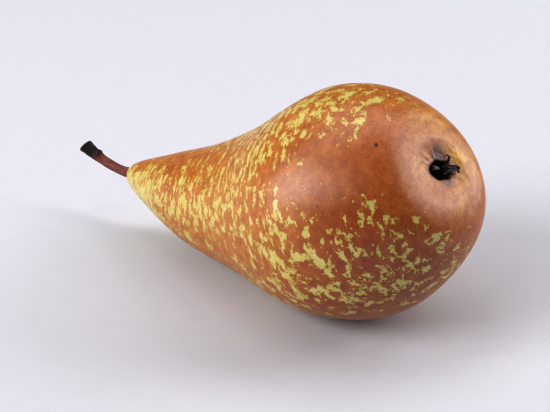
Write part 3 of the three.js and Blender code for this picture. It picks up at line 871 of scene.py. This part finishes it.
def build_sepal(name, line, widths, curl, thick, seed):
    nu, nv = 46, 21
    l = np.array(line, float)
    l[:, 2] = np.radians(l[:, 2])
    path = smooth_path(eye_point(l[:, 0], l[:, 1], l[:, 2]), nu)
    mid_a = np.interp(np.linspace(0, 1, nu), np.linspace(0, 1, len(l)), l[:, 2])
    tangent = np.gradient(path, axis=0)
    tangent /= np.linalg.norm(tangent, axis=1, keepdims=True)
    probe = np.stack([eye_point(3.0, 3.0, v + 0.05) - eye_point(3.0, 3.0, v - 0.05) for v in mid_a])
    across = probe - tangent * (probe * tangent).sum(1, keepdims=True)
    across /= np.linalg.norm(across, axis=1, keepdims=True)
    normal = np.cross(tangent, across)
    t = np.linspace(0, 1, nu)
    w = np.interp(t, [0, 0.5, 1.0], widths)
    w = w * np.sqrt(np.clip(1 - np.clip((t - 0.82) / 0.18, 0, 1) ** 2, 0.02, 1))
    v = np.linspace(-1, 1, nv)
    c = curl * (0.6 + 0.7 * t)
    ang = c[:, None] * v[None]
    flat = np.sin(ang) / c[:, None]
    lift = (1 - np.cos(ang)) / c[:, None]
    mid = path[:, None] + across[:, None] * (w[:, None] * flat)[..., None] + normal[:, None] * (w[:, None] * lift)[..., None]
    ridges = 0.05 * np.cos(7 * v[None] + 2 * t[:, None] + seed) + 0.09 * fractal(np.stack([t[:, None] * 4 + 0 * v, v[None] * 2.0 + 0 * t[:, None], np.full((nu, nv), float(seed))], -1), 61 + seed, 3)
    mid = mid + normal[:, None] * ridges[..., None]
    sheet_n = np.cross(np.gradient(mid, axis=0), np.gradient(mid, axis=1))
    sheet_n /= np.linalg.norm(sheet_n, axis=-1, keepdims=True) + 1e-12
    half = 0.5 * thick * (1 - 0.75 * np.abs(v[None]) ** 4) * (1.25 - 0.6 * t[:, None])
    top, low = mid + sheet_n * half[..., None], mid - sheet_n * half[..., None]
    # a closed loop round each section: top from one edge to the other, then back underneath
    loop = np.concatenate([top, low[:, ::-1]], 1)
    n = loop.shape[1]
    verts = np.vstack([loop.reshape(-1, 3), mid[0, nv // 2], mid[-1, nv // 2] + tangent[-1] * 0.03])
    faces = grid_faces(nu, n).tolist()
    for j in range(n):
        k = (j + 1) % n
        faces.append([nu * n, k, j])
        faces.append([nu * n + 1, (nu - 1) * n + j, (nu - 1) * n + k])
    obj = make_object(name + "_dry", verts, faces)
    leaf = np.stack([np.repeat(np.concatenate([v, v[::-1]])[None], nu, 0) * 3.0, np.repeat(t[:, None], n, 1) * 2.6, np.full((nu, n), 2.7 * seed)], -1)
    add_vector(obj, "leaf_co", np.vstack([leaf.reshape(-1, 3), leaf[0, nv // 2], leaf[-1, nv // 2]]))
    return obj


def fix_normals(obj):
    """Turns every face outwards."""
    import bmesh

    b = bmesh.new()
    b.from_mesh(obj.data)
    bmesh.ops.recalc_face_normals(b, faces=b.faces)
    b.to_mesh(obj.data)
    b.free()


# Lit and shaded copies of one dried sepal: the first, for the sepal in the light, is painted lighter grey; the second,
# for the sepals in the eye's shade, is painted near black over their own dark brown; the third has pale streaks painted
# as highlights on its ridges.
grey = calyx_material("calyx_lit_paint", srgb(40, 28, 26), srgb(150, 134, 140), 0.75)
black = calyx_material("calyx_shade_paint", srgb(16, 9, 7), srgb(84, 66, 66), 0.22, 0.5)
streaked = calyx_material("calyx_sheen_paint", srgb(18, 10, 8), srgb(150, 136, 146), 0.42, 0.45)
pieces = {}
for k, (name, (points, widths, curl, thick)) in enumerate(SEPALS.items()):
    o = build_sepal(name, points, widths, curl, thick, k + 1)
    fix_normals(o)
    o.data.materials.append({"sepal_1": grey, "sepal_3": streaked}.get(name, black))
    pieces[name] = o


def build_tuft():
    """Withered stamens: thin bent threads with a small shrivelled head each, round the remains of the styles."""
    verts, faces, co = [], [], []
    count = 0
    for k in range(26):
        rnd = lambda i: 0.5 + 0.5 * float(lattice_noise(np.array([[k * 3.7 + 0.37, i * 5.1 + 0.21, 0.5]]), 71)[0])
        a0 = k * 2.39996
        r0 = 0.15 + 0.95 * math.sqrt((k + 0.5) / 26)
        r1 = min(r0 * (0.75 + 0.6 * rnd(1)), 1.25)
        x1 = 4.05 + 0.9 * rnd(2)
        a1 = a0 + 0.9 * (rnd(3) - 0.5)
        pts = [(6.15, r0, a0), (5.5, r0 + 0.12, a0 + 0.1), (x1 + 0.55, 0.5 * (r0 + r1) + 0.1, 0.5 * (a0 + a1)), (x1, r1, a1)]
        p = np.array(pts)
        line = smooth_path(eye_point(p[:, 0], p[:, 1], p[:, 2]), 16)
        tan = np.gradient(line, axis=0)
        tan /= np.linalg.norm(tan, axis=1, keepdims=True)
        ref = np.array([0.3, 0.8, 0.5])
        u = np.cross(tan, ref)
        u /= np.linalg.norm(u, axis=1, keepdims=True)
        w = np.cross(tan, u)
        t = np.linspace(0, 1, 16)
        rad = 0.085 - 0.02 * t + 0.12 * np.exp(-(((t - 0.9) / 0.09) ** 2))
        rad[-1] = 0.04
        ring = np.linspace(0, 2 * np.pi, 9, endpoint=False)
        g = line[:, None] + rad[:, None, None] * (np.cos(ring)[None, :, None] * u[:, None] + np.sin(ring)[None, :, None] * w[:, None])
        base = count
        verts.append(g.reshape(-1, 3))
        verts.append(line[:1])
        verts.append(line[-1:] + tan[-1:] * 0.03)
        faces += grid_faces(16, 9, base).tolist()
        for j in range(9):
            k2 = (j + 1) % 9
            faces.append([base + 144, base + k2, base + j])
            faces.append([base + 145, base + 135 + j, base + 135 + k2])
        co.append(g.reshape(-1, 3) * 1.5)
        co.append(line[:1] * 1.5)
        co.append(line[-1:] * 1.5)
        count += 146
    obj = make_object("stamens_dry", np.vstack(verts), faces)
    add_vector(obj, "leaf_co", np.vstack(co))
    fix_normals(obj)
    return obj


tuft = build_tuft()
tuft.data.materials.append(calyx_material("stamens", srgb(14, 8, 6), srgb(70, 46, 34), 0.3, 0.7))
fix_normals(stem)
fix_normals(body)

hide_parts("stem")
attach(stem, "root")
for name, o in pieces.items():
    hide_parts(name)
    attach(o, "root")
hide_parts("stamen_tuft")
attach(tuft, "root")
